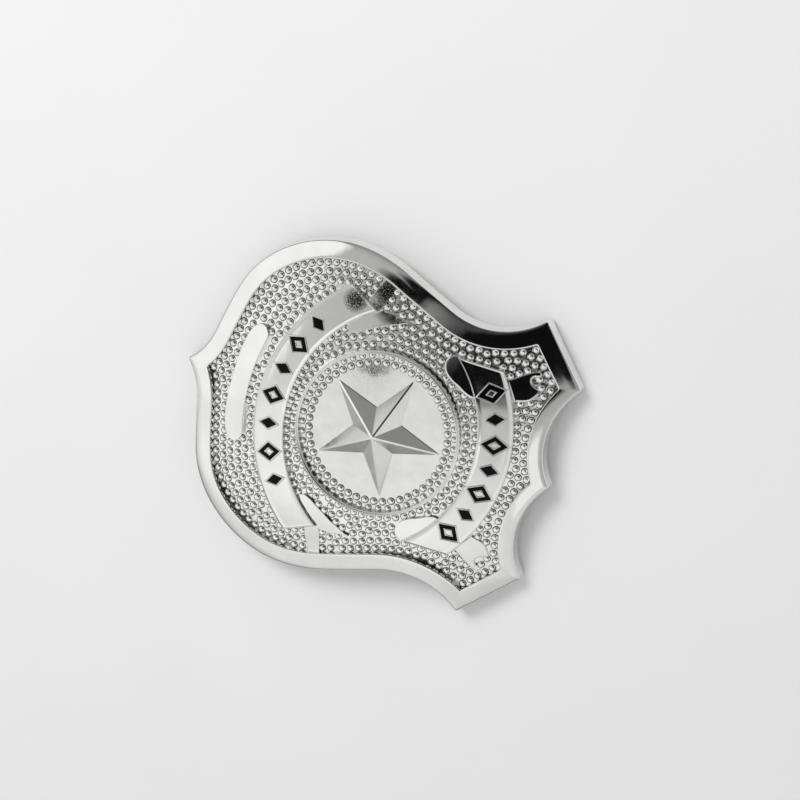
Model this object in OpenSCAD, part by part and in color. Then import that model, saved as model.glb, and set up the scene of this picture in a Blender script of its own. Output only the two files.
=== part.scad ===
// Police shield badge: one cast and plated shield, domed, with ribbons, a medallion and a star,
// black enamel inlays in its two ribbons, and a plain pin bar behind it.
// The badge lies on its back. Its face looks up along +Z and its top points to +Y.
// The origin lies under the middle of its box, at the level of the surface that it rests on.

/* [Shield] */
// Height of the shield's face, from the bottom tip to the top corners
badge_h = 62; // [52:0.5:74]
// Width of the shield's face where it is widest, low on its sides
badge_w = 54.2; // [46:0.5:64]
// Height of the side wall round the edge
edge_h = 2.2; // [1.6:0.1:3.2]
// How far the side wall spreads toward the back
edge_draft = 0.25; // [0:0.05:0.5]
// Radius of the face's curve from side to side
dome_side_r = 128; // [105:1:220]
// Radius of the face's curve from top to bottom
dome_long_r = 102; // [88:1:200]
// Rounding of the shield's outer corners
corner_r = 0.7; // [0.2:0.1:1.2]
// Thickness of the shell behind the sunk field
shell_t = 1.1; // [0.8:0.05:1.6]

/* [Rim and field] */
// Width of the polished rim band
rim_w = 2.95; // [2:0.05:3.4]
// Height of the band's crown above its outer edge
rim_crown = 0.35; // [0.1:0.05:0.7]
// Depth of the pebbled field below the rim's outer edge
field_drop = 0.85; // [0.6:0.05:1.1]

/* [Ribbons] */
// Height of a ribbon's face above the field
ribbon_h = 0.75; // [0.6:0.05:1]
// Height of a folded end or a tail above the field
fold_h = 0.42; // [0.3:0.02:0.55]
// Width of the fine raised line along a ribbon's edges
line_w = 0.28; // [0.15:0.01:0.45]
// Height of that line above the ribbon's face
line_h = 0.12; // [0.05:0.01:0.2]
// Radius of the upper ribbon's lower edge
upper_r = 21; // [19:0.1:23]
// Width of the upper ribbon
upper_w = 5.5; // [4.6:0.1:6.2]
// Half the distance between the upper ribbon's upright ends
upper_reach = 15.7; // [14.5:0.1:16.6]
// Height of the upper ribbon's lower edge above the medallion's centre, at the middle
upper_rise = 15.6; // [15:0.1:16.5]
// Radius of the lower ribbon's upper edge
lower_r = 22.3; // [20.5:0.1:24]
// Width of the lower ribbon
lower_w = 5.3; // [4.4:0.1:6]
// Half the distance between the lower ribbon's upper corners
lower_reach = 18.4; // [17:0.1:19.2]
// Depth of the lower ribbon's upper edge below the medallion's centre, at the middle
lower_fall = 15.15; // [14.6:0.05:16]

/* [Bottom bar] */
// Length of the plain bar under the lower ribbon
bar_l = 20; // [14:0.5:24]
// Height of that bar on the face, at its middle
bar_w = 3.2; // [2:0.1:3.6]
// Distance of the bar's middle from the bottom tip
bar_up = 10.15; // [9.4:0.05:10.8]
// How far the bar's ends bend upward
bar_bend = 1.3; // [0:0.1:1.6]

/* [Medallion] */
// Height of the medallion's centre above the middle of the shield
medal_up = 3.05; // [1:0.05:5]
// Radius of the medallion's wire ring
ring_r = 13; // [12:0.05:13.6]
// Width of that ring
ring_w = 0.6; // [0.4:0.05:0.9]
// Height of the ring above the medallion's flat ground
ring_h = 0.85; // [0.6:0.05:1.2]
// Depth of that ground below the face's highest point
ground_drop = 1.2; // [1:0.05:1.5]
// Radius of the circle of beads inside the ring
bead_ring_r = 11.2; // [10.9:0.05:11.6]
// Diameter of one bead
bead_d = 1.22; // [0.9:0.02:1.3]
// Distance from one bead to the next
bead_pitch = 1.41; // [1.34:0.01:1.6]
// Radius of the star's points
star_r = 10.3; // [8:0.1:10.5]
// Radius of the star's inner corners
star_in_r = 4.05; // [3:0.05:5]
// Height of the star's peak above the ground
star_h = 3.6; // [2:0.1:4.5]
// Height of the upright edge round the star's foot
star_foot = 0.2; // [0.1:0.05:0.5]

/* [Enamel] */
// Height of a framed lozenge in the upper ribbon
upper_mark_l = 4.2; // [3:0.1:4.4]
// Height of a framed lozenge in the lower ribbon
lower_mark_l = 3.8; // [3:0.1:4.2]
// Width of a framed lozenge
mark_w = 3; // [2.4:0.1:3.2]
// Width of the enamel frame of a lozenge
mark_stroke = 0.62; // [0.45:0.01:0.7]
// Width of a solid lozenge between two framed ones
small_mark_w = 1.8; // [1.2:0.05:2]
// Height of that solid lozenge
small_mark_l = 2.9; // [2:0.1:3.4]
// Angle from one inlay to the next along the upper ribbon
upper_step = 10; // [9.5:0.1:11]
// Angle from one inlay to the next along the lower ribbon
lower_step = 10.8; // [9.5:0.1:11]
// Width of the fine raised line round each inlay
mark_line_w = 0.22; // [0.12:0.01:0.3]
// Number of inlays in each ribbon
mark_count = 7; // [3:2:7]
// Depth of the enamel
enamel_t = 0.4; // [0.25:0.01:0.45]
// Height of the enamel above the ribbon's face
enamel_rise = 0.03; // [0:0.01:0.08]
// Free space round and under the enamel
enamel_gap = 0.05; // [0.03:0.01:0.08]

/* [Pin] */
// Length of the bar that carries the pin
pin_bar_l = 30; // [24:0.5:32]
// Width of that bar
pin_bar_w = 4.5; // [3.5:0.1:5.5]
// Thickness of that bar
pin_bar_t = 0.8; // [0.6:0.05:1]
// Height of the bar above the middle of the shield
pin_up = 8; // [0:0.5:9]
// Free space between the bar's ends and the shell above them
bar_gap = 0.38; // [0.3:0.02:0.8]
// Diameter of the pin's wire
pin_d = 1; // [0.8:0.05:1.1]
// Free space between the pin's wire and the bar
pin_gap = 0.7; // [0.5:0.05:0.8]
// Diameter of the two cast posts that carry the bar
post_d = 3.6; // [3:0.1:4]
// Distance between those posts
post_span = 20; // [14:0.5:22]

/* [Hidden] */
half_w = badge_w / 2;
half_h = badge_h / 2;
// Small overlap that joins cast relief to what it stands on
bite = 0.3;

// The right half of the outline, from the bottom tip to the top peak.
// Columns: x as a share of half the width, y as a share of half the height,
// bulge of the arc to the next row, straight pieces in that arc, and 1 for a sharp corner.
OUTLINE = [
    [0,     -1,     -0.16,  4,  1],
    [0.199, -0.890, 0.01,   2,  0],
    [0.494, -0.834, 0.14,   5,  0],
    [0.790, -0.689, 0.182,  6,  0],
    [1,     -0.277, 0.109,  4,  0],
    [0.930, 0.035,  0,      2,  0],
    [0.827, 0.265,  -0.32,  9,  0],
    [0.924, 0.736,  0,      4,  1],
    [0.594, 1,      -0.357, 11, 1],
    [0,     0.998,  0,      0,  1]];
function key_x(k) = OUTLINE[k][0] * half_w;
function key_y(k) = OUTLINE[k][1] * half_h;
function key(k) = [key_x(k), key_y(k)];
function sharp(k) = OUTLINE[k][4] == 1;
last_key = len(OUTLINE) - 1;

// The dome is an elliptic bowl turned over. Its top lies where the tip and the horns rest level.
horn = last_key - 1;
dome_y = (pow(key_x(horn), 2) * dome_long_r / dome_side_r + pow(key_y(horn), 2) - pow(key_y(0), 2))
    / (2 * (key_y(horn) - key_y(0)));
function drop(x, y) = x * x / (2 * dome_side_r) + pow(y - dome_y, 2) / (2 * dome_long_r);
apex_z = edge_h + max([for (p = rim_loop(-edge_draft, corner_r)) drop(p.x, p.y)]);
function face_z(x, y) = apex_z - drop(x, y);
function on_face(p, h) = [p.x, p.y, face_z(p.x, p.y) + h];

// Arcs given by two ends and a bulge. The outer side is on the right hand of the way.
function heading(p, q) = atan2(q.y - p.y, q.x - p.x);
function out_dir(a) = [sin(a), -cos(a)];
function arc_mid(p, q, bulge) = (p + q) / 2 + out_dir(heading(p, q)) * bulge * norm(q - p) / 2;
function arc_point(p, q, bulge, t) = abs(bulge) < 0.001 ? p + (q - p) * t
    : let (n = out_dir(heading(p, q)),
           r = norm(q - p) * (1 + bulge * bulge) / (4 * bulge),
           a = 4 * atan(bulge) * (t - 0.5))
      arc_mid(p, q, bulge) - n * r + r * (n * cos(a) + (q - p) / norm(q - p) * sin(a));

// Headings of the outline on the way into and out of each corner
function way_out(k) = k == last_key ? -way_in(k)
    : heading(key(k), key(k + 1)) - 2 * atan(OUTLINE[k][2]);
function way_in(k) = k == 0 ? -way_out(k)
    : heading(key(k - 1), key(k)) + 2 * atan(OUTLINE[k - 1][2]);
function half_turn(k) = let (w = way_out(k) - way_in(k)) (w > 180 ? w - 360 : w < -180 ? w + 360 : w) / 2;
// Outward mitre of a corner: as long as the corner moves when both its sides move by 1
function mitre(k) = out_dir(way_in(k) + half_turn(k)) / cos(half_turn(k));
function moved_key(k, inset) = key(k) - mitre(k) * inset;

// One side of the outline, moved inward by an inset, with its corners cut back for a rounding r
function cut_back(k, r) = sharp(k) ? r * tan(abs(half_turn(k))) : 0;
function side_points(k, inset, r) =
    let (p = moved_key(k, inset), q = moved_key(k + 1, inset), n = OUTLINE[k][3],
         old_mid = arc_mid(key(k), key(k + 1), OUTLINE[k][2]),
         mid = old_mid - out_dir(heading(key(k), key(k + 1))) * inset,
         bulge = 2 * (mid - (p + q) / 2) * out_dir(heading(p, q)) / norm(q - p),
         t0 = cut_back(k, r) / norm(q - p),
         t1 = 1 - cut_back(k + 1, r) / norm(q - p),
         end = sharp(k + 1) ? n : n - 1)
    [for (j = [0:end]) arc_point(p, q, bulge, t0 + (t1 - t0) * j / n)];
function corner_point(k, inset, r) =
    moved_key(k, inset) - sign(half_turn(k)) * r * (mitre(k) - mitre(k) / norm(mitre(k)));
function right_side(inset, r) = [
    corner_point(0, inset, r),
    for (k = [0:last_key - 1]) each concat(side_points(k, inset, r),
        sharp(k + 1) ? [corner_point(k + 1, inset, r)] : [])];
function rim_loop(inset, r) =
    let (s = right_side(inset, r), n = len(s))
    [each s, for (i = [n - 2:-1:1]) [-s[i].x, s[i].y]];

// A solid skinned over closed loops with equal numbers of points, capped at both ends
module skin(loops) {
    n = len(loops[0]);
    points = [for (l = loops) each l];
    sides = [for (i = [0:len(loops) - 2], j = [0:n - 1])
        let (a = i * n + j, b = i * n + (j + 1) % n)
        each [[a, b, b + n], [a, b + n, a + n]]];
    first = [for (j = [n - 1:-1:0]) j];
    last = [for (j = [0:n - 1]) (len(loops) - 1) * n + j];
    polyhedron(points, concat([first], sides, [last]), convexity = 6);
}

// The rim's section. Columns: share of the rim's width, share of its crown, share of the corner rounding.
RIM_SECTION = [
    [0.97, 0.6,  0.2],
    [0.89, 1,    0.2],
    [0.38, 0.97, 0.5],
    [0.15, 0.78, 0.9],
    [0,    0,    1]];
// Shares by which the field's edge shrinks toward the medallion's centre
FIELD_STEPS = [0.34, 0.56, 0.78];
field_foot = rim_w * 1.03;
foot_r = corner_r * 0.2;
centre = [0, medal_up];
back_h = -field_drop - shell_t;
function shrunk(p, s) = centre + (p - centre) * s;
function at_level(loop, h) = [for (p = loop) on_face(p, h)];
function flat_loop(loop, z) = [for (p = loop) [p.x, p.y, z]];
foot_loop = rim_loop(field_foot, foot_r);
function field_loop(s) = [for (p = foot_loop) shrunk(p, s)];
back_flat_z = face_z(0, medal_up) + back_h - bite;

module shell() {
    front = [flat_loop(field_loop(FIELD_STEPS[0]), face_z(0, medal_up) - field_drop),
        at_level(field_loop(FIELD_STEPS[1]), -field_drop),
        at_level(field_loop(FIELD_STEPS[2]), -field_drop),
        at_level(foot_loop, -field_drop)];
    rim = [for (s = RIM_SECTION) at_level(rim_loop(s[0] * rim_w, s[2] * corner_r), s[1] * rim_crown)];
    wall = [at_level(rim_loop(-edge_draft, corner_r), -edge_h)];
    back = [at_level(rim_loop(rim_w * 0.85, foot_r), -edge_h),
        at_level(foot_loop, back_h),
        at_level(field_loop(FIELD_STEPS[2]), back_h),
        at_level(field_loop(FIELD_STEPS[1]), back_h),
        flat_loop(field_loop(FIELD_STEPS[0]), back_flat_z)];
    skin(concat(front, rim, wall, back));
}

// A raised band between pairs of points, one pair a row, whose face lies h above the field.
// The second point of a pair lies on the left hand of the way from row to row.
// With lined = true it has a fine raised line along both edges.
module band(rows, h, lined = false) {
    top = h - field_drop;
    skin([for (r = rows)
        let (w = norm(r[1] - r[0]), e = min(line_w / w, 0.2), k = lined ? line_h : 0,
             shares = lined ? [0, e, e * 1.4, 0.5, 1 - e * 1.4, 1 - e, 1] : [0, 0.33, 0.67, 1],
             lifts = lined ? [k, k, 0, 0, 0, k, k] : [0, 0, 0, 0],
             across = [for (s = shares) r[0] + (r[1] - r[0]) * s])
        [on_face(r[0], -field_drop - bite),
            for (i = [0:len(shares) - 1]) on_face(across[i], top + lifts[i]),
            on_face(r[1], -field_drop - bite)]]);
}

function polar(c, r, a, side) = [c.x + r * sin(a), c.y + side * r * cos(a)];
// Rows of a ribbon from end to end: its inner edge and its outer edge have their own end angles
ribbon_steps = 22;
function ribbon_rows(c, r_in, r_out, a_in, a_out, side) = [for (i = [0:ribbon_steps])
    let (u = side * (2 * i / ribbon_steps - 1))
    [polar(c, r_in, u * a_in, side), polar(c, r_out, u * a_out, side)]];

upper_centre = [0, medal_up + upper_rise - upper_r];
upper_out_r = upper_r + upper_w;
upper_in_a = asin(upper_reach / upper_r);
upper_out_a = asin(upper_reach / upper_out_r);
lower_centre = [0, medal_up - lower_fall + lower_r];
lower_out_r = lower_r + lower_w;
lower_in_a = asin(lower_reach / lower_r);
// The lower ribbon's ends slant outward by this angle less on its outer edge
lower_slant = 5.6;
lower_out_a = lower_in_a - lower_slant;

module upper_ribbon()
    band(ribbon_rows(upper_centre, upper_r, upper_out_r, upper_in_a, upper_out_a, 1), ribbon_h, true);
module lower_ribbon()
    band(ribbon_rows(lower_centre, lower_r, lower_out_r, lower_in_a, lower_out_a, -1), ribbon_h, true);

// Points near a ribbon's end, from its own edges: a is an angle as a share of the edge's end angle
function by_upper(a, out) = polar(upper_centre, upper_r + out, a * upper_in_a, 1);
function by_upper_top(a, out) = polar(upper_centre, upper_out_r + out, a * upper_out_a, 1);
function by_lower(a, out) = polar(lower_centre, lower_r + out, a * lower_in_a, -1);

// The upper ribbon's end turns under in a leaf.
// Columns: angle share on the leaf's edge and on the ribbon's edge, depth as a share of the ribbon's width.
UPPER_LEAF = [
    [0.60,  0.60, 0.02],
    [0.64,  0.64, 0.17],
    [0.68,  0.68, 0.29],
    [0.74,  0.74, 0.39],
    [0.82,  0.82, 0.47],
    [0.91,  0.89, 0.48],
    [1,     0.95, 0.39],
    [1.035, 0.98, 0.22],
    [1.03,  0.99, 0.08]];
module upper_leaf()
    band([for (r = UPPER_LEAF) [by_upper(r[0], -r[2] * upper_w), by_upper(r[1], bite)]], fold_h);

// Its tail rises from the top edge and splits round a notch.
// Columns: angle share and height as a share of the ribbon, for the outer and the inner side.
UPPER_TAIL = [
    [0.902, -0.05, 0.685, -0.05],
    [0.920, 0.38,  0.690, 0.33],
    [0.915, 0.62,  0.700, 0.60],
    [0.907, 0.88,  0.745, 0.84]];
tail_notch_r = 0.16 * upper_w;
module upper_tail() {
    c = by_upper_top(0.835, 0.8 * upper_w);
    difference() {
        band([for (r = UPPER_TAIL) [by_upper_top(r[0], r[1] * upper_w), by_upper_top(r[2], r[3] * upper_w)]],
            fold_h);
        translate([c.x, c.y, 0]) cylinder(r = tail_notch_r, h = 2 * apex_z, $fn = 20);
    }
}

// The lower ribbon's end turns under in a long strip that comes out above it.
// Columns: angle share, height of the strip's lower and upper side above the ribbon, as shares of the ribbon.
LOWER_STRIP = [
    [0.74,  -0.05, 0.08],
    [0.755, -0.05, 0.41],
    [0.813, -0.05, 0.41],
    [0.893, -0.05, 0.44],
    [0.976, -0.05, 0.49],
    [1.05,  0.05,  0.50],
    [1.10,  0.17,  0.53],
    [1.145, 0.32,  0.55],
    [1.19,  0.43,  0.55],
    [1.235, 0.51,  0.54]];
module lower_strip()
    band([for (r = LOWER_STRIP) [by_lower(r[0], -r[1] * lower_w), by_lower(r[0], -r[2] * lower_w)]], fold_h);

// Its tail runs out to the rim. Columns: angle share and depth as a share of the ribbon, for either side.
LOWER_TAIL = [
    [0.955, 0.36, 1.00,  -0.08],
    [1.03,  0.64, 1.095, 0.26],
    [1.105, 0.96, 1.155, 0.62]];
module lower_tail()
    band([for (r = LOWER_TAIL) [by_lower(r[0], r[1] * lower_w), by_lower(r[2], r[3] * lower_w)]], fold_h);

// A plain bar with rounded ends, bent a little like a smile. Columns: share of half its length, of its width.
BAR_SHAPE = [[1, 0.05], [0.985, 0.4], [0.95, 0.68], [0.89, 0.92], [0.8, 1], [0.45, 1], [0, 1]];
function bar_row(s, w) = let (x = s * bar_l / 2, y = bar_up - half_h + bar_bend * s * s)
    [[x, y - w * bar_w / 2], [x, y + w * bar_w / 2]];
module bottom_bar() band([for (r = BAR_SHAPE) bar_row(-r[0], r[1]),
    for (i = [len(BAR_SHAPE) - 2:-1:0]) bar_row(BAR_SHAPE[i][0], BAR_SHAPE[i][1])], ribbon_h);

// Medallion: a flat sunk ground with a wire ring, a circle of beads and the star
ground_z = apex_z - ground_drop;
ring_sides = 64;
disc_t = 0.7 * shell_t;
// A disc inside the ring, between two levels counted from the ground
module medal_disc(low, high)
    translate([0, medal_up, ground_z + low]) cylinder(r = ring_r, h = high - low, $fn = ring_sides);
module ring() {
    top = ground_z + ring_h;
    foot = ground_z - ring_h;
    h = ring_w / 2;
    translate([0, medal_up, 0])
        rotate_extrude($fn = ring_sides)
            polygon([[ring_r - h, foot], [ring_r + h, foot], [ring_r + h, top - h],
                [ring_r + h / 2, top], [ring_r - h / 2, top], [ring_r - h, top - h]]);
}
// One bead: a low dome on a ten-sided foot
module bead() {
    r = bead_d / 2;
    hull() {
        translate([0, 0, -bite]) cylinder(r = r, h = bite, $fn = 10);
        translate([0, 0, r * 0.25]) cylinder(r1 = r * 0.95, r2 = r * 0.5, h = r * 0.55, $fn = 10);
    }
}
bead_count = floor(360 / (2 * asin(bead_pitch / 2 / bead_ring_r)));
module bead_circle() {
    for (i = [0:bead_count - 1]) {
        a = (i + 0.5) * 360 / bead_count;
        translate([bead_ring_r * sin(a), medal_up + bead_ring_r * cos(a), ground_z]) bead();
    }
}
module star() {
    function star_point(i, z) = let (r = i % 2 == 0 ? star_r : star_in_r)
        [r * sin(36 * i), medal_up + r * cos(36 * i), z];
    foot = [for (i = [9:-1:0]) star_point(i, ground_z - bite)];
    edge = [for (i = [9:-1:0]) star_point(i, ground_z + star_foot)];
    peak = [0, medal_up, ground_z + star_h];
    polyhedron(concat(foot, edge, [peak]),
        concat([[for (i = [0:9]) i]],
            [for (i = [0:9]) each [[i, 10 + i, 10 + (i + 1) % 10], [i, 10 + (i + 1) % 10, (i + 1) % 10]]],
            [for (i = [0:9]) [10 + i, 20, 10 + (i + 1) % 10]]));
}

// Inlays. A lozenge is given by its half width and half height, and grown evenly by g.
function grown(a, b, g) = [a + g * norm([a, b]) / b, b + g * norm([a, b]) / a];
module lozenge(a, b, g = 0) {
    s = grown(a, b, g);
    polygon([[s.x, 0], [0, s.y], [-s.x, 0], [0, -s.y]]);
}
// Odd inlays are framed lozenges, even ones are small solid lozenges
module mark(i, l, g = 0) {
    if (i % 2 == 1)
        difference() {
            lozenge(mark_w / 2, l / 2, g);
            lozenge(mark_w / 2, l / 2, -mark_stroke - g);
        }
    else
        lozenge(small_mark_w / 2, small_mark_l / 2, g);
}
// Places what it holds on a ribbon's face, upright to the dome and turned with the ribbon
module on_ribbon(c, r, a, side) {
    p = polar(c, r, a, side);
    slope = [-p.x / dome_side_r, (dome_y - p.y) / dome_long_r];
    lean = asin(slope.y / norm([slope.x, slope.y, 1]));
    translate(on_face(p, ribbon_h - field_drop))
        rotate([lean, -atan(slope.x), 0]) rotate([0, 0, -side * a]) children();
}
function mark_turn(i, step) = (i - (mark_count + 1) / 2) * step;
module upper_place(i) on_ribbon(upper_centre, upper_r + upper_w / 2, mark_turn(i, upper_step), 1) children();
module lower_place(i) on_ribbon(lower_centre, lower_r + lower_w / 2, mark_turn(i, lower_step), -1) children();
// An inlay from a level up to another level, grown by g
module inlay(i, l, low, high, g = 0) translate([0, 0, low]) linear_extrude(height = high - low) mark(i, l, g);
enamel_low = enamel_rise - enamel_t;
module upper_enamel(i) color([0.03, 0.03, 0.03])
    upper_place(i) inlay(i, upper_mark_l, enamel_low, enamel_rise);
module lower_enamel(i) color([0.03, 0.03, 0.03])
    lower_place(i) inlay(i + 1, lower_mark_l, enamel_low, enamel_rise);
// The raised lines round all inlays, and the pockets for them
module mark_lines()
    for (i = [1:mark_count]) {
        upper_place(i) inlay(i, upper_mark_l, -bite, line_h, enamel_gap + mark_line_w);
        lower_place(i) inlay(i + 1, lower_mark_l, -bite, line_h, enamel_gap + mark_line_w);
    }
module mark_pockets()
    for (i = [1:mark_count]) {
        upper_place(i) inlay(i, upper_mark_l, enamel_low - enamel_gap, 2 * line_h, enamel_gap);
        lower_place(i) inlay(i + 1, lower_mark_l, enamel_low - enamel_gap, 2 * line_h, enamel_gap);
    }

// Posts behind the shell, which end in flat seats for the pin bar
pin_seat_z = face_z(pin_bar_l / 2, pin_up + pin_bar_w / 2) + back_h - bar_gap;
post_top_z = face_z(post_span / 2 - post_d / 2, pin_up) + back_h + bite;
module posts()
    for (s = [-1, 1])
        translate([s * post_span / 2, pin_up, pin_seat_z])
            cylinder(d = post_d, h = post_top_z - pin_seat_z, $fn = 20);

module both_sides() {
    children();
    mirror([1, 0, 0]) children();
}

module shield() color([0.8, 0.8, 0.8]) {
    difference() {
        union() {
            shell();
            posts();
            both_sides() {
                upper_leaf();
                upper_tail();
                lower_strip();
                lower_tail();
            }
            upper_ribbon();
            lower_ribbon();
            bottom_bar();
            mark_lines();
            medal_disc(-disc_t, 0);
        }
        medal_disc(0, apex_z);
        mark_pockets();
    }
    ring();
    bead_circle();
    star();
}

// The pin finding, one plain piece: a bar, a hinge barrel at one end, a hook at the other, and the pin
module back_pin() color([0.7, 0.7, 0.72]) {
    bar_z = pin_seat_z - pin_bar_t;
    wire_z = bar_z - pin_gap - pin_d / 2;
    end_x = pin_bar_l / 2 - pin_bar_w / 2;
    barrel_r = pin_d * 0.9;
    hook_w = pin_d * 2;
    translate([0, pin_up, bar_z])
        linear_extrude(height = pin_bar_t) {
            square([2 * end_x, pin_bar_w], center = true);
            for (s = [-1, 1]) translate([s * end_x, 0]) circle(d = pin_bar_w, $fn = 48);
        }
    translate([-end_x, pin_up, wire_z]) {
        rotate([90, 0, 0]) cylinder(r = barrel_r, h = pin_bar_w * 0.7, center = true, $fn = 32);
        translate([-barrel_r, -pin_bar_w * 0.35, 0])
            cube([2 * barrel_r, pin_bar_w * 0.7, pin_gap + pin_d / 2 + pin_bar_t / 2]);
        rotate([0, 90, 0]) cylinder(d = pin_d, h = 2 * end_x + hook_w / 2, $fn = 32);
    }
    translate([end_x, pin_up, wire_z]) {
        rotate([0, 90, 0])
            difference() {
                cylinder(r = pin_d * 0.95, h = hook_w, center = true, $fn = 32);
                translate([0, -pin_d, 0]) cube([pin_d, 2 * pin_d, 2 * hook_w], center = true);
            }
        translate([-hook_w / 2, pin_d * 0.45, 0])
            cube([hook_w, pin_d * 0.5, pin_gap + pin_d / 2 + pin_bar_t / 2]);
    }
}

shield();
back_pin();
for (i = [1:mark_count]) {
    upper_enamel(i);
    lower_enamel(i);
}
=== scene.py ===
"""Looks of the police shield badge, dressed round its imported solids.

Lengths are in millimetres, in the frame of the solids: x to the right and y to the top of the badge's face,
and z out of it. The face is a dome, and most heights are measured from it.
"""
import math

import bmesh
import bpy
import numpy as np
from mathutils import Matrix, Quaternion, Vector


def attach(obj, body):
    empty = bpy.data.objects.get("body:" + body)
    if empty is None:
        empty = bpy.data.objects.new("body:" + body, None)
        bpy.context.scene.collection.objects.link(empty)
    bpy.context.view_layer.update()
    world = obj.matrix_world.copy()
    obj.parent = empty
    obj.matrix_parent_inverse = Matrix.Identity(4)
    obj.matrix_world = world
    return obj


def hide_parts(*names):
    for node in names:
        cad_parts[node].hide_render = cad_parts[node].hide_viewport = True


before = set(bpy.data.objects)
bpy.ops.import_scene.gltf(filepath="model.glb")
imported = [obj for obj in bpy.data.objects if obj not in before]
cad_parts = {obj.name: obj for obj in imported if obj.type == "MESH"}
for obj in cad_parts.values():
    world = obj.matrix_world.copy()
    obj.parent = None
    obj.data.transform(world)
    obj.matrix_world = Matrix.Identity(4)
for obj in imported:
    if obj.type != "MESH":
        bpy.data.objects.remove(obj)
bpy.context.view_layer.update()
MM = 0.001

# The shield's half width and half height
HALF_W, HALF_H = 27.1, 31.0
# The dome: the place and height of its apex, and how wide it is along x and y (the larger, the flatter)
APEX_Y, APEX_Z = 1.66525, 7.46596
FALL_X, FALL_Y = 256, 204

# Levels from the dome: the sunk field, the foot of raised parts, the ribbons, their folded ends, the back
FIELD = -0.85
ROOT = FIELD - 0.3
RIBBON = -0.10
FOLD = -0.43
BACK = -1.95

# The medallion is flat: its middle, the height of its ground and its ring's outer radius
MEDAL_Y = 3.05
MEDAL = np.array([0, MEDAL_Y])
DISC_Z = APEX_Z - 1.2
RING_R = 13.3


def face_z(x, y):
    """Height of the dome."""
    return APEX_Z - x * x / FALL_X - (y - APEX_Y) ** 2 / FALL_Y


# Node helpers
def new_material(name):
    material = bpy.data.materials.new(name)
    material.use_nodes = True
    return material, material.node_tree, material.node_tree.nodes["Principled BSDF"]


def noise(tree, scale, detail=2.0, rough=0.5):
    """Noise fixed to the badge. scale: its size, as features to the metre."""
    place = tree.nodes.new("ShaderNodeTexCoord")
    n = tree.nodes.new("ShaderNodeTexNoise")
    n.inputs["Scale"].default_value = scale
    n.inputs["Detail"].default_value = detail
    n.inputs["Roughness"].default_value = rough
    tree.links.new(place.outputs["Object"], n.inputs["Vector"])
    return n.outputs["Fac"]


def ramp(tree, value, lo, hi, a, b):
    """Turns a value from lo to hi into one from a to b. Outside, it stays at the nearer end."""
    r = tree.nodes.new("ShaderNodeMapRange")
    r.inputs["From Min"].default_value = lo
    r.inputs["From Max"].default_value = hi
    r.inputs["To Min"].default_value = a
    r.inputs["To Max"].default_value = b
    tree.links.new(value, r.inputs["Value"])
    return r.outputs["Result"]


def tint(tree, share, a, b):
    """A colour between a and b, by a share from 0 to 1."""
    r = tree.nodes.new("ShaderNodeValToRGB")
    r.color_ramp.elements[0].color = (*a, 1)
    r.color_ramp.elements[1].color = (*b, 1)
    tree.links.new(share, r.inputs["Fac"])
    return r.outputs["Color"]


def bump(tree, shader, height, depth, after=None):
    """Gives the shader a bump of some depth, on top of an earlier one. Returns the new normal."""
    b = tree.nodes.new("ShaderNodeBump")
    b.inputs["Strength"].default_value = 1.0
    b.inputs["Distance"].default_value = depth * MM
    tree.links.new(height, b.inputs["Height"])
    if after:
        tree.links.new(after, b.inputs["Normal"])
    tree.links.new(b.outputs["Normal"], shader.inputs["Normal"])
    return b.outputs["Normal"]


def calc(tree, operation, *values):
    """A Math node over numbers and sockets."""
    n = tree.nodes.new("ShaderNodeMath")
    n.operation = operation
    for socket, v in zip(n.inputs, values):
        if isinstance(v, (int, float)):
            socket.default_value = v
        else:
            tree.links.new(v, socket)
    return n.outputs[0]


# Materials

# Darkest and lightest colour of the plating, and the colour of the painted dark reflections
PLATE = (0.86, 0.855, 0.845), (0.93, 0.925, 0.915)
PAINTED_REFLECTION_DARK = (0.035, 0.034, 0.03, 1)
# Dented spots with painted dark reflections on the lower ribbon and the medallion's ground: x, y, radius,
# depth of the dents, darkness
RIBBON_PAINTED_REFLECTIONS = [(-18.8, -6.3, 2.1, 0.04, 1.5), (-21.6, -1.8, 2.4, 0.02, 1.5)]
DISC_PAINTED_REFLECTIONS = [(-9.3, -2.0, 1.3, 0.03, 0.6), (-9.45, -0.35, 1.6, 0.04, 0.85), (-10.0, 1.2, 1.3, 0.03, 0.6),
              (-9.0, -0.4, 4.8, 0.0, 0.16)]


def dents_and_painted_reflection(tree, shader, colour, after, x, y, r, deep, dark):
    """Fine dents, and dark specks of painted reflection, that fade out round a point. Returns the new colour
    and normal.
    """
    place = tree.nodes.new("ShaderNodeTexCoord")
    flat = tree.nodes.new("ShaderNodeVectorMath")
    flat.operation = "MULTIPLY"
    flat.inputs[1].default_value = (1, 1, 0)
    away = tree.nodes.new("ShaderNodeVectorMath")
    away.operation = "DISTANCE"
    away.inputs[1].default_value = (x * MM, y * MM, 0)
    tree.links.new(place.outputs["Object"], flat.inputs[0])
    tree.links.new(flat.outputs[0], away.inputs[0])
    fade = ramp(tree, away.outputs["Value"], 0.35 * r * MM, r * MM, 1, 0)
    after = bump(tree, shader, calc(tree, "MULTIPLY", fade, noise(tree, 3600, 3, 0.65)), deep, after)
    # the dark specks are a painted reflection, darkest at the middle of the spot
    painted_specks = ramp(tree, noise(tree, 4600, 4, 0.65), 0.40, 0.56, 0.3 * dark, dark)
    # a Mix node has its colours at sockets 6 and 7, and gives one at socket 2
    mix = tree.nodes.new("ShaderNodeMix")
    mix.data_type = "RGBA"
    tree.links.new(calc(tree, "MULTIPLY", fade, painted_specks), mix.inputs["Factor"])
    tree.links.new(colour, mix.inputs[6])
    mix.inputs[7].default_value = PAINTED_REFLECTION_DARK
    return mix.outputs[2], after


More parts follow.
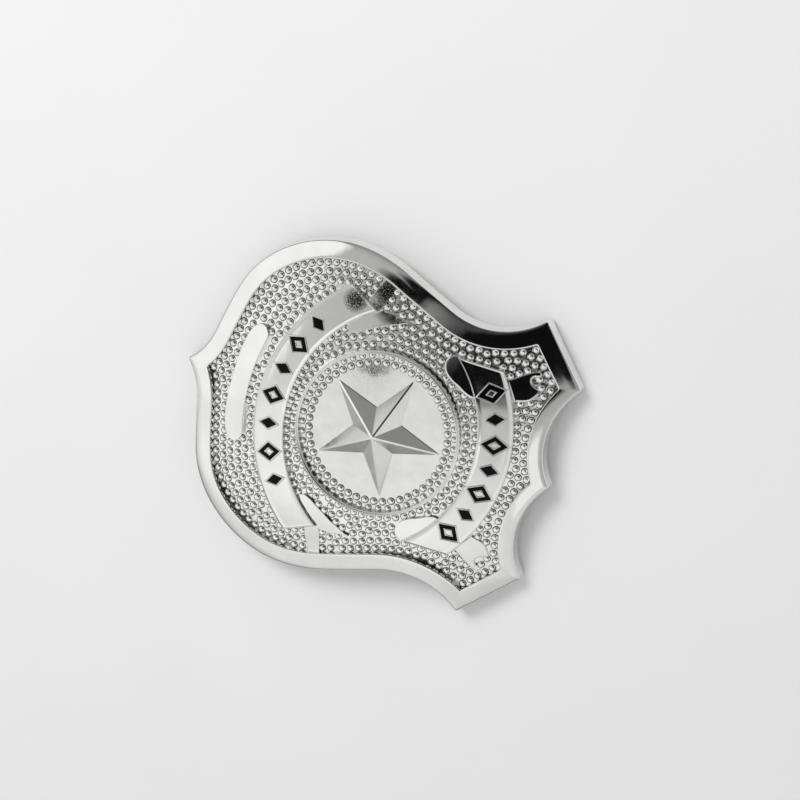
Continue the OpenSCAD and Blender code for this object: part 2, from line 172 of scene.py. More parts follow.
def metal(name, roughness, colours, waves, swell=420, grain=0.0, spots=()):
    """Plated metal, uneven in roughness and colour. waves: depth of its slow waves, which are as close as
    swell says. grain: depth of a satin grain."""
    material, tree, shader = new_material(name)
    shader.inputs["Metallic"].default_value = 1.0
    colour = tint(tree, ramp(tree, noise(tree, 260, 3), 0.3, 0.7, 0, 1), *colours)
    tree.links.new(ramp(tree, noise(tree, 900, 4, 0.6), 0.3, 0.75, *roughness), shader.inputs["Roughness"])
    after = bump(tree, shader, noise(tree, swell, 1), waves)
    # spots of painted dark reflection, each with fine dents in its bump
    for spot in spots:
        colour, after = dents_and_painted_reflection(tree, shader, colour, after, *spot)
    tree.links.new(colour, shader.inputs["Base Color"])
    if grain:
        bump(tree, shader, noise(tree, 5200, 2, 0.6), grain, after)
    return material


def black_enamel():
    material, tree, shader = new_material("black_enamel")
    black = tint(tree, noise(tree, 700, 3), (0.001, 0.001, 0.0012), (0.003, 0.003, 0.0033))
    tree.links.new(black, shader.inputs["Base Color"])
    tree.links.new(ramp(tree, noise(tree, 1400, 3), 0.3, 0.7, 0.06, 0.16), shader.inputs["Roughness"])
    bump(tree, shader, noise(tree, 900, 2), 0.010)
    shader.inputs["Specular IOR Level"].default_value = 0.10
    return material


def brushed_steel():
    """Steel with fine lines along x."""
    material, tree, shader = new_material("brushed_steel")
    shader.inputs["Metallic"].default_value = 1.0
    place = tree.nodes.new("ShaderNodeTexCoord")
    stretch = tree.nodes.new("ShaderNodeMapping")
    stretch.inputs["Scale"].default_value = (60, 2600, 2600)
    lines = tree.nodes.new("ShaderNodeTexNoise")
    lines.inputs["Scale"].default_value = 1.0
    lines.inputs["Detail"].default_value = 3.0
    tree.links.new(place.outputs["Object"], stretch.inputs["Vector"])
    tree.links.new(stretch.outputs["Vector"], lines.inputs["Vector"])
    grey = tint(tree, lines.outputs["Fac"], (0.46, 0.46, 0.47), (0.66, 0.66, 0.67))
    tree.links.new(grey, shader.inputs["Base Color"])
    tree.links.new(ramp(tree, lines.outputs["Fac"], 0.3, 0.7, 0.22, 0.38), shader.inputs["Roughness"])
    bump(tree, shader, lines.outputs["Fac"], 0.006)
    return material


def floor_paper():
    material, tree, shader = new_material("floor_paper")
    pale = tint(tree, noise(tree, 30, 3), (0.83, 0.83, 0.83), (0.87, 0.87, 0.87))
    tree.links.new(pale, shader.inputs["Base Color"])
    shader.inputs["Roughness"].default_value = 0.8
    return material


polished = metal("polished_plate", (0.05, 0.10), PLATE, 0.010)
ribbon_metal = metal("ribbon_plate", (0.05, 0.10), PLATE, 0.012, spots=RIBBON_PAINTED_REFLECTIONS)
satin = metal("satin_plate", (0.16, 0.24), ((0.89, 0.885, 0.87), (0.96, 0.955, 0.94)), 0.03, grain=0.0004,
              spots=DISC_PAINTED_REFLECTIONS)
bead_metal = metal("bead_plate", (0.12, 0.22), ((0.94, 0.935, 0.925), (0.99, 0.985, 0.975)), 0.004)
field_metal = metal("field_plate", (0.12, 0.20), ((0.90, 0.895, 0.885), (0.98, 0.975, 0.965)), 0.05, 1300)
# the beads' feet: metal painted dark as the shade in the crease round each bead
painted_foot_shade = metal("painted_foot_shade", (0.3, 0.45), ((0.06, 0.06, 0.06), (0.16, 0.157, 0.153)), 0.004)
enamel = black_enamel()
steel = brushed_steel()


# Mesh helpers
def finish_piece(name, mesh, material, sharp):
    """Makes a mesh a piece of the badge. sharp: angle in degrees from which an edge isn't shaded smooth."""
    mesh.shade_smooth()
    mesh.set_sharp_from_angle(angle=math.radians(sharp))
    mesh.materials.append(material)
    obj = bpy.data.objects.new(name, mesh)
    bpy.context.scene.collection.objects.link(obj)
    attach(obj, "root")
    return obj


def add_piece(name, verts, faces, material, sharp, turn_out=True):
    """A piece from points in millimetres. turn_out: turn all of its faces outward."""
    mesh = bpy.data.meshes.new(name)
    mesh.from_pydata((np.asarray(verts, float) * MM).tolist(), [], [tuple(int(i) for i in f) for f in faces])
    mesh.validate()
    if turn_out:
        bm = bmesh.new()
        bm.from_mesh(mesh)
        bmesh.ops.recalc_face_normals(bm, faces=bm.faces)
        bm.to_mesh(mesh)
        bm.free()
    return finish_piece(name, mesh, material, sharp)


def grid_faces(rows, cols, base=0, wrap=False):
    """Faces between rows of points that are numbered from base on. wrap: each row is closed."""
    out = []
    for i in range(rows - 1):
        for j in range(cols if wrap else cols - 1):
            k = (j + 1) % cols
            low, high = base + i * cols, base + (i + 1) * cols
            out.append((low + j, low + k, high + k, high + j))
    return out


def lifted(points, h):
    """Points of the plan at a height over the dome."""
    return np.c_[points, face_z(points[:, 0], points[:, 1]) + h]


# Helpers for lines in the plan, whose points are mostly about STEP apart
STEP = 0.05


def unit(v):
    return v / np.linalg.norm(v)


def run(points):
    """Length along a line at each of its points."""
    return np.r_[0, np.cumsum(np.linalg.norm(np.diff(points, axis=0), axis=1))]


def even(points, n=None):
    """The same line with n even steps, or steps of about STEP."""
    d = run(points)
    s = np.linspace(0, d[-1], n or int(d[-1] / STEP) + 1)
    return np.c_[np.interp(s, d, points[:, 0]), np.interp(s, d, points[:, 1])]


def trim(points, start, end=None):
    """Part of a line between two lengths measured along it."""
    d = run(points)
    end = d[-1] if end is None else end
    at = lambda v: np.array([np.interp(v, d, points[:, 0]), np.interp(v, d, points[:, 1])])
    return np.vstack([at(start), points[(d > start) & (d < end)], at(end)])


def soften(points, sigma):
    """Rounds a line's bends over a length."""
    k = int(4 * sigma / STEP)
    w = np.exp(-0.5 * (np.arange(-k, k + 1) * STEP / sigma) ** 2)
    w /= w.sum()
    before = 2 * points[0] - points[1:k + 1][::-1]
    after = 2 * points[-1] - points[-k - 1:-1][::-1]
    p = np.vstack([before, points, after])
    return np.c_[np.convolve(p[:, 0], w, "valid"), np.convolve(p[:, 1], w, "valid")]


def arc(p, q, bulge, step=0.04):
    """A round arc from p to q. bulge: how far it stands out, as a share of half the distance."""
    n = max(2, int(np.linalg.norm(q - p) / step))
    t = np.linspace(0, 1, n + 1)[:, None]
    if abs(bulge) < 1e-3:
        return p + (q - p) * t
    d = unit(q - p)
    out = np.array([d[1], -d[0]])
    r = np.linalg.norm(q - p) * (1 + bulge * bulge) / (4 * bulge)
    a = 4 * np.arctan(bulge) * (t - 0.5)
    mid = (p + q) / 2 + out * bulge * np.linalg.norm(q - p) / 2
    return mid - out * r + r * (out * np.cos(a) + d * np.sin(a))


def fillet(p, c, q, n):
    """n points of a rounded corner between p and q whose corner is c."""
    a, b = p - c, q - c
    w = math.sqrt(max(0.0, (1 - unit(a) @ unit(b)) / 2))
    t = np.linspace(0, 1, n + 2)[1:-1, None]
    share_p, share_c, share_q = (1 - t) ** 2, 2 * w * t * (1 - t), t * t
    return (share_p * p + share_c * c + share_q * q) / (share_p + share_c + share_q)


def half_turn(u, v):
    """Half of the angle between two ways."""
    return math.acos(max(-1, min(1, unit(u) @ unit(v)))) / 2


# The shield's outline, its right half from bottom to top over the side, the shoulder and the brow: points as
# shares of the half width and half height, and the bulge of the arc after each of them
KEYS = np.array([[0, -1], [0.199, -0.890], [0.494, -0.834], [0.790, -0.689], [1, -0.277], [0.930, 0.035],
                 [0.827, 0.265], [0.924, 0.736], [0.594, 1], [0, 0.998]]) * (HALF_W, HALF_H)
BULGES = [-0.16, 0.01, 0.14, 0.182, 0.109, 0, -0.32, 0, -0.357]


def chain(first, last):
    arcs = [arc(KEYS[k], KEYS[k + 1], BULGES[k]) for k in range(first, last)]
    return even(np.vstack([arcs[0]] + [p[1:] for p in arcs[1:]]))


SIDE = soften(chain(0, 7), 0.9)
SHOULDER = chain(7, 8)
BROW = soften(chain(8, 9), 0.5)

# Number of points by which a moved line runs on past its ends, and of those in which a corner is looked for
RUN_ON, SEARCH = 60, 400
# Points of each part of a half loop, and half of those round a corner
N_SIDE, N_SHOULDER, N_BROW, N_TURN = 250, 44, 66, 7
# The rim's width, and how much narrower it is along the brow
RIM_W, BROW_CUT = 2.97, 0.5


def moved(points, inset):
    """A line moved inward, and made longer at both ends."""
    t = np.gradient(points, axis=0)
    t /= np.linalg.norm(t, axis=1)[:, None]
    q = points - inset * np.c_[t[:, 1], -t[:, 0]]
    s = np.arange(RUN_ON, 0, -1)[:, None] * STEP
    return np.vstack([q[0] - t[0] * s, q, q[-1] + t[-1] * s[::-1]])


def crossing(points, dist, first):
    """Length along a line where a signed distance changes sign."""
    d = run(points)
    i = np.nonzero(np.sign(dist[:-1]) != np.sign(dist[1:]))[0]
    i = i[0] if first else i[-1]
    return d[i] + dist[i] / (dist[i] - dist[i + 1]) * (d[i + 1] - d[i])


def brow_inset(v):
    """The rim is narrower along the brow than elsewhere."""
    return float(np.interp(v, [-1, 0.3, RIM_W, 20], [-1, 0.3, RIM_W - BROW_CUT, 20 - BROW_CUT]))


def right_half(inset, r):
    """The outline's right half, moved inward, with corners rounded by r."""
    side, shoulder, brow = moved(SIDE, inset), moved(SHOULDER, inset), moved(BROW, brow_inset(inset))
    way = unit(shoulder[-1] - shoulder[0])
    off = lambda p: (p - shoulder[0]) @ np.array([way[1], -way[0]])
    # lengths along the lines at which they meet each other and the middle
    tip = crossing(side[:SEARCH], side[:SEARCH, 0], True)
    horn = crossing(side[-SEARCH:], off(side[-SEARCH:]), False) + run(side[:1 - SEARCH])[-1]
    heel = crossing(brow[:SEARCH], off(brow[:SEARCH]), True)
    peak = crossing(brow[-SEARCH:], brow[-SEARCH:, 0], False) + run(brow[:1 - SEARCH])[-1]
    at = lambda line, v: trim(line, v)[0]
    tip_corner, horn_corner = at(side, tip), at(side, horn)
    heel_corner, peak_corner = at(brow, heel), at(brow, peak)
    # ways of the lines next to each corner, over ten points, and how far they are cut back for its rounding
    tip_way = side[RUN_ON + 10] - side[RUN_ON]
    horn_way = side[-RUN_ON - 2] - side[-RUN_ON - 12]
    heel_way = brow[RUN_ON + 12] - brow[RUN_ON + 2]
    peak_way = brow[-RUN_ON - 2] - brow[-RUN_ON - 12]
    tip_cut, peak_cut = r * abs(tip_way[1] / tip_way[0]), r * abs(peak_way[1] / peak_way[0])
    horn_cut, heel_cut = r * math.tan(half_turn(horn_way, way)), r * math.tan(half_turn(way, heel_way))
    side = trim(side, tip + tip_cut, horn - horn_cut)
    shoulder = np.vstack([horn_corner + way * horn_cut, heel_corner - way * heel_cut])
    brow = trim(brow, heel + heel_cut, peak - peak_cut)
    mirror = np.array([-1, 1])
    tip_turn = fillet(side[0] * mirror, tip_corner, side[0], 2 * N_TURN + 1)[N_TURN:]
    horn_turn = fillet(side[-1], horn_corner, shoulder[0], 2 * N_TURN)
    heel_turn = fillet(shoulder[-1], heel_corner, brow[0], 2 * N_TURN)
    peak_turn = fillet(brow[-1], peak_corner, brow[-1] * mirror, 2 * N_TURN + 1)[:N_TURN + 1]
    tip_turn[0, 0] = peak_turn[-1, 0] = 0
    side, shoulder, brow = even(side, N_SIDE), even(shoulder, N_SHOULDER), even(brow, N_BROW)
    return np.vstack([tip_turn, side, horn_turn, shoulder, heel_turn, brow, peak_turn])


def rim_loop(inset, r):
    """The whole outline, moved inward."""
    half = right_half(inset, r)
    return np.vstack([half, half[-2:0:-1] * (-1, 1)])


# The rim's section as inset, height over the dome and radius of the outline's corners. Its round edges come
# after the inner wall and after the face. The field and the back run inward from FOOT_INSET.
FOOT_INSET = 3.02
INNER_WALL = [(3.0, FIELD, 0.3), (2.97, -0.4, 0.3), (2.95, 0.08, 0.3)]
FACE = [(2.68, 0.334, 0.3), (2.5, 0.339, 0.3), (2.3, 0.343, 0.3), (1.95, 0.348, 0.28), (1.6, 0.35, 0.26),
        (1.3, 0.349, 0.24), (1.05, 0.345, 0.22), (0.85, 0.338, 0.2), (0.66, 0.328, 0.2), (0.5, 0.316, 0.2),
        (0.38, 0.302, 0.2), (0.3, 0.288, 0.2)]
OUTER_WALL = [(0.055, -0.1, 0.38), (0.04, -0.35, 0.42), (0.0, -0.8, 0.55), (-0.10, -1.4, 0.66),
              (-0.19, BACK, 0.74), (-0.205, -2.07, 0.76), (-0.185, -2.14, 0.75), (-0.12, -2.185, 0.73)]
UNDERSIDE = [(0.0, -2.2, 0.7), (1.0, -2.2, 0.45), (2.3, -2.2, 0.2), (2.42, -2.18, 0.2), (2.5, -2.12, 0.2),
             (2.65, -2.04, 0.16), (FOOT_INSET, BACK, 0.3)]
# The round edges: inset and height of the middle, and radius
INNER_EDGE, OUTER_EDGE = (2.73, 0.115, 0.215), (0.24, 0.10, 0.18)


def rim_section():
    rows = list(INNER_WALL)
    for a in np.radians((75, 60, 45, 30, 15)):
        inset, h, r = INNER_EDGE
        rows.append((inset + r * math.sin(a), h + r * math.cos(a), 0.3))
    rows += FACE
    for a in np.radians((25, 42, 58, 73, 87)):
        inset, h, r = OUTER_EDGE
        rows.append((inset - r * math.sin(a), h + r * math.cos(a), 0.2 + 0.15 * math.sin(a)))
    return rows + OUTER_WALL + UNDERSIDE


# Radii: where the field ends under the medallion's ring, where it dips there, and the back's innermost ring
FIELD_R, DIP_R, BACK_R = 13.1, (12.95, 12.9), 2.5


def shell():
    """The shield's body: the field dips under the medallion, and the hollow back has a flat middle."""
    foot = rim_loop(FOOT_INSET, 0.3)
    n = len(foot)
    bearing = np.arctan2(foot[:, 0], foot[:, 1] - MEDAL_Y)
    circle = lambda r: MEDAL + r * np.c_[np.sin(bearing), np.cos(bearing)]
    toward = lambda r, s: circle(r) * (1 - s) + foot * s
    field = [np.c_[circle(DIP_R[1]), np.full(n, DISC_Z - 0.3)], lifted(circle(DIP_R[0]), FIELD - 0.05)]
    field += [lifted(toward(FIELD_R, s), FIELD) for s in (0.08, 0.25, 0.5, 0.75)]
    rim = [lifted(rim_loop(inset, r), h) for inset, h, r in rim_section()]
    back = [lifted(toward(BACK_R, s), BACK) for s in np.linspace(0.94, 0, 15)]
    for p in back:
        p[:, 2] = np.minimum(p[:, 2], face_z(0, MEDAL_Y) + BACK - 0.3)
    rings = field + rim + back
    faces = grid_faces(len(rings), n, wrap=True)
    faces.append(tuple(range(n))[::-1])
    faces.append(tuple(range((len(rings) - 1) * n, len(rings) * n)))
    obj = add_piece("shell", np.vstack(rings), faces, polished, 60)
    obj.data.materials.append(field_metal)
    index = np.zeros(len(obj.data.polygons), np.int32)
    index[:len(field) * n] = 1
    obj.data.polygons.foreach_set("material_index", index)
    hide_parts("shield")


shell()

# Edge profiles of the raised parts: distance from the side, and height over the part's level
LINED = [(0, -0.10), (0.015, -0.01), (0.035, 0.045), (0.07, 0.085), (0.12, 0.10), (0.165, 0.085),
         (0.20, 0.045), (0.225, 0.012), (0.26, 0.0)]
SOFT = [(0, -0.17), (0.03, -0.11), (0.08, -0.065), (0.15, -0.032), (0.24, -0.011), (0.34, -0.001),
        (0.42, 0.0)]
EDGE = [(0, -0.12), (0.012, -0.065), (0.04, -0.022), (0.08, 0.0), (0.14, 0.004), (0.20, 0.0)]


def ribbon(name, left, right, step=0.28, across=9):
    """A ribbon between two side lines with equal numbers of points, with a fine raised line round it.
    Its height follows the profile by the distance to its nearest side or end."""
    along = run((left + right) / 2)
    length = along[-1]
    near, lift = np.array(LINED).T
    deep = near[-1]
    steps = max(2, int((length - 2 * deep) / step))
    inner = deep + (length - 2 * deep) * np.arange(1, steps) / steps
    stations = sorted({0.0, length, *near, *(length - near), *inner})
    stations = [v for i, v in enumerate(stations) if i == 0 or v - stations[i - 1] > 1e-4]
    rows = []
    for v in stations:
        a = np.array([np.interp(v, along, left[:, k]) for k in (0, 1)])
        b = np.array([np.interp(v, along, right[:, k]) for k in (0, 1)])
        w = np.linalg.norm(b - a)
        plain = deep + (w - 2 * deep) * np.arange(1, across - 1) / (across - 1)
        d = np.r_[near, plain, w - near[::-1]]
        p = a + (b - a) * (d / w)[:, None]
        q = np.minimum(np.minimum(d, w - d), min(v, length - v))
        h = RIBBON + np.interp(q, near, lift)
        rows.append(np.vstack([lifted(a[None], ROOT), lifted(p, h), lifted(b[None], ROOT)]))
    rows = [lifted(rows[0][:, :2], ROOT)] + rows + [lifted(rows[-1][:, :2], ROOT)]
    add_piece(name, np.vstack(rows), grid_faces(len(rows), len(rows[0])), ribbon_metal, 50)


def polar(c, r, a, side):
    """Points on a circle round c. side 1: measured from its top, side -1: from its bottom."""
    a = np.radians(a)
    return np.stack([c[0] + r * np.sin(a), c[1] + side * r * np.cos(a)], -1)


# Each ribbon's centre, inner radius, width and half the distance of its ends, and half angles of its sides
UP_C, UP_R, UP_W, UP_END = (0, -2.35), 21.0, 5.5, 15.7
UP_IN = math.degrees(math.asin(UP_END / UP_R))
UP_OUT = math.degrees(math.asin(UP_END / (UP_R + UP_W)))
LO_C, LO_R, LO_W, LO_END = (0, 10.2), 22.3, 5.3, 18.4
LO_IN = math.degrees(math.asin(LO_END / LO_R))
LO_OUT = LO_IN - 5.6


def side_line(c, r, half_angle, side):
    return polar(c, r, np.linspace(-1, 1, 241) * half_angle, side)


up_in, up_out = side_line(UP_C, UP_R, UP_IN, 1), side_line(UP_C, UP_R + UP_W, UP_OUT, 1)
lo_in, lo_out = side_line(LO_C, LO_R, LO_IN, -1), side_line(LO_C, LO_R + LO_W, LO_OUT, -1)
ribbon("upper_ribbon", up_in, up_out)
ribbon("lower_ribbon", lo_in, lo_out)


def smooth_line(points, step=0.12):
    """A Catmull-Rom line through points, evenly divided."""
    p = np.asarray(points, float)
    if len(p) == 2:
        return even(p, max(2, int(np.linalg.norm(p[1] - p[0]) / step) + 1))
    q = np.vstack([2 * p[0] - p[1], p, 2 * p[-1] - p[-2]])
    out = []
    for a, b, c, d in zip(q, q[1:], q[2:], q[3:]):
        t = np.linspace(0, 1, 13)[:-1, None]
        out.append(0.5 * (2 * b + (c - a) * t + (2 * a - 5 * b + 4 * c - d) * t ** 2
                          + (3 * b - a - 3 * c + d) * t ** 3))
    out = np.vstack(out + [p[-1:]])
    return even(out, max(2, int(run(out)[-1] / step) + 1))


def outline(*runs):
    """A closed outline, counterclockwise, from smooth runs that meet in corners."""
    points = np.vstack([smooth_line(r)[:-1] for r in runs])
    a, b = points, np.roll(points, -1, axis=0)
    area = (a[:, 0] * b[:, 1] - b[:, 0] * a[:, 1]).sum()
    return points if area > 0 else points[::-1]


def drawn_in(points, d):
    """A closed outline moved inward."""
    t = np.roll(points, -1, axis=0) - points
    t /= np.linalg.norm(t, axis=1)[:, None] + 1e-12
    n = np.c_[-t[:, 1], t[:, 0]]
    m = n + np.roll(n, 1, axis=0)
    m /= np.linalg.norm(m, axis=1)[:, None] + 1e-12
    return points + m * d / np.maximum(0.5, (m * n).sum(1))[:, None]


def cut_sheet(points, step=0.5):
    """Flat triangles inside an outline, cut along a square grid so that they can follow the dome."""
    bm = bmesh.new()
    corners = [bm.verts.new((x, y, 0)) for x, y in points]
    edges = [bm.edges.new(pair) for pair in zip(corners, corners[1:] + corners[:1])]
    bmesh.ops.triangle_fill(bm, use_beauty=True, edges=edges)
    for k in (0, 1):
        for v in np.arange(math.ceil(points[:, k].min() / step) * step, points[:, k].max(), step):
            at, way = [0, 0, 0], [0, 0, 0]
            at[k], way[k] = v, 1
            geom = bm.verts[:] + bm.edges[:] + bm.faces[:]
            bmesh.ops.bisect_plane(bm, geom=geom, dist=1e-5, plane_co=at, plane_no=way)
    bm.verts.index_update()
    verts = np.array([v.co[:2] for v in bm.verts])
    faces = [tuple(v.index for v in f.verts) for f in bm.faces]
    bm.free()
    return verts, faces


def form(name, points, level, profile=EDGE, lean=0.0, mid=0.0):
    """A raised form of any outline: wall, edge and top. It follows the dome, and can lean outward."""
    rings = [lifted(points, ROOT)] + [lifted(drawn_in(points, d), level + h) for d, h in profile]
    n = len(points)
    verts, faces = np.vstack(rings), grid_faces(len(rings), n, wrap=True)
    top, tris = cut_sheet(drawn_in(points, profile[-1][0]))
    faces += [tuple(v + len(verts) for v in f) for f in tris]
    verts = np.vstack([verts, lifted(top, level + profile[-1][1])])
    verts[n:, 2] -= lean * (np.abs(verts[n:, 0]) - mid)
    joined, index = np.unique(verts.round(6), axis=0, return_inverse=True)
    index = index.ravel()
    faces = [tuple(dict.fromkeys(int(index[v]) for v in f)) for f in faces]
    add_piece(name, joined, [f for f in faces if len(f) > 2], ribbon_metal, 50)


# The folded ends of the ribbons on the right, each an outline of smooth runs that meet in corners
LEAF = outline([(10.25, 16.4), (10.15, 15.3), (10.55, 14.1), (11.15, 13.0), (11.75, 11.7), (12.55, 10.65),
                (13.4, 10.1), (14.3, 9.95), (15.1, 10.2), (15.65, 10.75), (15.85, 11.5), (15.85, 12.6)],
               [(15.85, 12.6), (13.2, 15.0), (10.25, 16.4)])
TAIL = outline([(11.45, 21.8), (11.65, 22.4), (11.85, 23.2), (12.2, 23.95), (12.8, 24.5), (13.5, 24.95),
                (14.15, 25.2)],
               [(14.15, 25.2), (14.3, 24.6), (14.6, 23.85), (15.1, 23.4), (15.6, 23.3), (16.0, 23.6),
                (16.1, 24.1)],
               [(16.1, 24.1), (16.4, 24.5), (16.8, 24.4), (17.0, 24.0), (16.85, 23.3), (16.4, 22.5),
                (15.8, 21.6), (15.1, 20.7), (14.5, 19.7)],
               [(14.5, 19.7), (11.45, 21.8)])
STRIP = outline([(18.2, 3.1), (17.75, 2.0), (17.2, 0.9), (16.75, -0.2), (16.3, -1.0), (15.7, -2.0),
                 (15.1, -3.1), (14.45, -4.2), (14.05, -5.1)],
                [(14.05, -5.1), (13.95, -5.6), (14.15, -6.1), (14.4, -6.5)],
                [(14.4, -6.5), (16.2, -5.2), (18.1, -2.6), (18.95, -1.7)],
                [(18.95, -1.7), (18.85, -0.8), (18.8, 0.2), (18.6, 1.0), (18.4, 2.0), (18.2, 3.1)])
LOW_TAIL = outline([(18.2, -2.1), (19.2, -1.7), (20.3, -1.4), (21.4, -1.1), (22.6, -0.8), (23.6, -0.5)],
                   [(23.6, -0.5), (24.3, -2.4)],
                   [(24.3, -2.4), (23.3, -2.75), (22.2, -3.2), (21.2, -3.7), (20.3, -4.05), (19.3, -4.3)],
                   [(19.3, -4.3), (18.2, -2.1)])
FORMS = {"upper_leaf": LEAF, "upper_tail": TAIL, "lower_strip": STRIP, "lower_tail": LOW_TAIL}
# The plain bar at the bottom
BAR = outline([(-8.8, -18.3), (-8.2, -18.3), (-6.4, -18.65), (-4.2, -19.0), (-2.0, -19.2), (0, -19.25),
               (2.0, -19.2), (4.2, -19.0), (6.4, -18.65), (8.2, -18.3), (8.9, -18.35), (9.5, -18.7),
               (9.95, -19.3), (10.0, -19.9), (9.7, -20.5), (9.1, -21.1), (8.0, -21.6), (6.2, -22.05),
               (4.2, -22.3), (2.0, -22.42), (0, -22.45), (-2.0, -22.42), (-4.2, -22.3), (-6.2, -22.05),
               (-8.0, -21.6), (-9.1, -21.1), (-9.7, -20.5), (-10.0, -19.9), (-9.95, -19.3), (-9.5, -18.7),
               (-8.8, -18.3)])
# The upper ribbon's left ends have softer edges, and lean outward by this slope about this x
LEAN, LEAN_FROM = 0.045, 13.3

for word, points in FORMS.items():
    form(word + "_right", points, FOLD)
    mirrored = (points * (-1, 1))[::-1]
    if "upper" in word:
        form(word + "_left", mirrored, FOLD, SOFT, LEAN, LEAN_FROM)
    else:
        form(word + "_left", mirrored, FOLD)
form("bottom_bar", BAR, RIBBON)

# Profile of the fine raised lines round the inlays: distance from the inlay, and height over the ribbon
LINE = [(0.05, -0.05), (0.06, 0.04), (0.09, 0.085), (0.14, 0.105), (0.19, 0.09), (0.23, 0.05), (0.27, -0.03)]
# Rows of inlays: the ribbon's centre, radius of their middles, angle between them, side of the centre, length
# of the open lozenges, and whether these are the odd (1) or the even ones (0)
INLAY_ROWS = ((UP_C, UP_R + UP_W / 2, 10.0, 1, 4.2, 1), (LO_C, LO_R + LO_W / 2, 10.8, -1, 3.8, 0))
# Half the width of an open lozenge, the width of its band, and half the width and length of a full lozenge
OPEN_W, OPEN_BAND, FULL = 1.5, 0.62, (0.9, 1.45)


def lozenge_line(half_w, half_l, sign, place):
    """A raised line along a lozenge. sign 1: outside it, -1: inside it."""
    diag = math.hypot(half_w, half_l)
    rings = []
    for g, h in LINE:
        a, b = half_w + sign * g * diag / half_l, half_l + sign * g * diag / half_w
        corners = np.array([(a, 0), (0, b), (-a, 0), (0, -b)])
        ways = np.roll(corners, -1, axis=0) - corners
        points = np.vstack([c + way * t for c, way in zip(corners, ways) for t in (0, 0.25, 0.5, 0.75)])
        rings.append(lifted(place(points), RIBBON + h))
    return np.vstack(rings), grid_faces(len(rings), len(rings[0]), wrap=True)


def inlay_lines():
    verts, faces, count = [], [], 0
    for centre, mid_r, turn, side, length, odd in INLAY_ROWS:
        half_l = length / 2
        diag = math.hypot(OPEN_W, half_l)
        inner = (OPEN_W - OPEN_BAND * diag / half_l, half_l - OPEN_BAND * diag / OPEN_W)
        for i in range(1, 8):
            angle = (i - 4) * turn
            at = polar(centre, mid_r, angle, side)
            c, s = math.cos(math.radians(angle)), -side * math.sin(math.radians(angle))
            place = lambda q: q @ np.array([[c, s], [-s, c]]) + at
            lines = [(OPEN_W, half_l, 1), (*inner, -1)] if i % 2 == odd else [(*FULL, 1)]
            for half_w, half, sign in lines:
                v, f = lozenge_line(half_w, half, sign, place)
                verts.append(v)
                faces += [tuple(k + count for k in q) for q in f]
                count += len(v)
    add_piece("inlay_lines", np.vstack(verts), faces, ribbon_metal, 60)


inlay_lines()


# The medallion

# The ring's two wires: their radii, and half the width, the height and the foot of each
WIRES, WIRE_W, WIRE_H, WIRE_Z = (12.84, 13.16), 0.14, 0.15, DISC_Z + 0.68
# The ground's two rows of beads: radius of the row, shift along it, and radius and height of a bead
MEDAL_ROWS = ((11.2, 0.5, 0.67, 0.42), (12.3, 0, 0.56, 0.34))


def lathe(name, profile, material, sides):
    """A round form on the medallion's middle. profile: radius and z, from the inside out."""
    a = np.linspace(0, 2 * np.pi, sides, endpoint=False)
    verts = np.vstack([np.c_[r * np.sin(a), MEDAL_Y + r * np.cos(a), np.full(sides, z)] for r, z in profile])
    add_piece(name, verts, grid_faces(len(profile), sides, wrap=True), material, 40)


def medal_ring():
    """A ring of two wires side by side on one wall."""
    a = np.radians(np.arange(15, 166, 25))
    inner, outer = [list(zip(r - WIRE_W * np.cos(a), WIRE_Z + WIRE_H * np.sin(a))) for r in WIRES]
    profile = [(12.7, DISC_Z - 0.3), (12.7, DISC_Z + 0.6)] + inner + [(13.0, DISC_Z + 0.70)] + outer
    lathe("medal_ring", profile + [(RING_R, DISC_Z + 0.55), (RING_R, DISC_Z - 0.95)], polished, 256)


lathe("medal_ground", [(r, DISC_Z) for r in (0.05, 2, 4, 6, 8, 10, 11, 12, 12.6, 12.75)], satin, 192)
medal_ring()

# A bead's section as shares of its radius and its height: its crown and flank, and its foot, painted dark as
# shade
CROWN = [(0.28, 0.99), (0.42, 0.96), (0.52, 0.90), (0.60, 0.82), (0.72, 0.65), (0.88, 0.38)]
FOOT = [(0.95, 0.12), (1.0, -0.35)]


def beads(name, places, sides=16):
    """Low domes. places: x, y, z of the foot, radius, height."""
    a = np.linspace(0, 2 * np.pi, sides, endpoint=False)
    unit_bead = [np.array([[0, 0, 1.0]])]
    unit_bead += [np.c_[r * np.sin(a), r * np.cos(a), np.full(sides, z)] for r, z in CROWN + FOOT]
    unit_bead = np.vstack(unit_bead)
    one = [(0, 1 + j, 1 + (j + 1) % sides) for j in range(sides)]
    one += grid_faces(len(CROWN) + len(FOOT), sides, 1, wrap=True)
    kind = [0] * (sides * len(CROWN)) + [1] * (sides * len(FOOT))
    verts, faces = [], []
    for i, (x, y, z, r, h) in enumerate(places):
        verts.append(unit_bead * (r, r, h) + (x, y, z))
        faces += [tuple(v + i * len(unit_bead) for v in f) for f in one]
    obj = add_piece(name, np.vstack(verts), faces, bead_metal, 50, turn_out=False)
    # the foot gets the painted shade
    obj.data.materials.append(painted_foot_shade)
    obj.data.polygons.foreach_set("material_index", np.array(kind * len(places), np.int32))


def medal_beads(n=49):
    """Two rows of n beads inside the ring, the small ones between the big ones."""
    places = []
    for r, shift, size, height in MEDAL_ROWS:
        for v in (np.arange(n) + shift) * 2 * np.pi / n:
            places.append((r * math.sin(v), MEDAL_Y + r * math.cos(v), DISC_Z, size, height))
    beads("medal_beads", places, 22)


medal_beads()

# The star: radius of its points and of its notches, height of its apex and of the wall round its foot, and
# how far its ridges are cut back into flats
STAR_R, STAR_IN, STAR_H, STAR_WALL, RIDGE = 10.3, 4.05, 3.6, 0.2, 0.2


